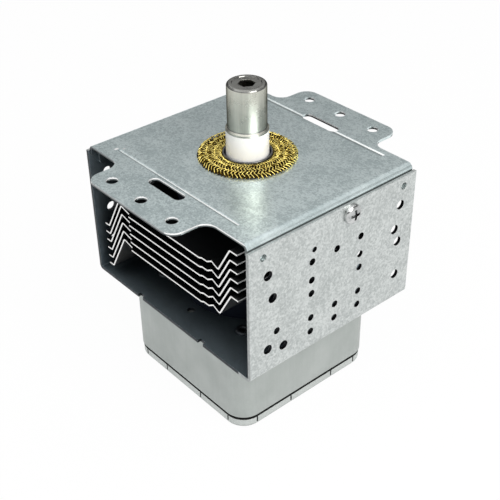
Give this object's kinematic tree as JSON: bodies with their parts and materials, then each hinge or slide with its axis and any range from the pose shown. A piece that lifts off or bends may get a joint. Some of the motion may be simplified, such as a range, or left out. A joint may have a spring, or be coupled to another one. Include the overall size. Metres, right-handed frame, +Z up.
{
  "type": "magnetron",
  "caption": "Microwave-oven magnetron: perforated steel yoke around a finned anode, capped antenna and knitted gasket on top, filter box with a fingered lid and a feed-through capacitor below.",
  "frame": {"origin": "middle of the filter lid's underside, on the axis of the antenna", "axes": "+Z up the antenna, +X out of the perforated wall that the picture shows on the right, -Y out of the open face that the picture shows on the left"},
  "size_m": [0.0986, 0.109, 0.1239],
  "materials": {
    "zinc": "galvanised sheet with a fine grey spangle",
    "drawn_steel": "smooth galvanised sheet, satin",
    "nickel": "polished plated steel, warm grey",
    "alumina": "white ceramic, slightly glossy",
    "dark_steel": "dark iron, matte",
    "mesh_brass": "knitted brass wire",
    "fin_aluminium": "bare rolled aluminium",
    "ferrite": "dark grey ferrite",
    "copper": "bare copper",
    "tungsten": "dull grey metal",
    "brown_resin": "moulded brown resin",
    "tin": "bright tinned steel"
  },
  "bodies": {
    "root": {"yoke_plate": "zinc", "yoke_frame": "zinc", "yoke_screws": "tin", "antenna_cap": "nickel", "output_insulator": "alumina", "output_seal": "dark_steel", "exhaust_tube": "copper", "antenna_rod": "copper", "output_sleeve": "dark_steel", "rf_gasket": "mesh_brass", "upper_magnet": "ferrite", "lower_magnet": "ferrite", "upper_pole_piece": "dark_steel", "lower_pole_piece": "dark_steel", "anode_cylinder": "copper", "anode_vanes": "copper", "strap_rings": "copper", "cathode_filament": "tungsten", "upper_end_hat": "tungsten", "lower_end_hat": "tungsten", "centre_lead": "tungsten", "side_lead": "tungsten", "stem_sleeve": "dark_steel", "stem_insulator": "alumina", "stem_terminals": "tin", "cooling_fin_1": "fin_aluminium", "cooling_fin_2": "fin_aluminium", "cooling_fin_3": "fin_aluminium", "cooling_fin_4": "fin_aluminium", "cooling_fin_5": "fin_aluminium", "cooling_fin_6": "fin_aluminium", "filter_box": "drawn_steel", "filter_lid": "drawn_steel", "box_rivets": "tin", "choke_cores": "ferrite", "choke_coils": "copper", "capacitor_body": "brown_resin", "capacitor_flange": "tin", "capacitor_terminals": "tin", "capacitor_rivets": "tin"}
  },
  "joints": []
}
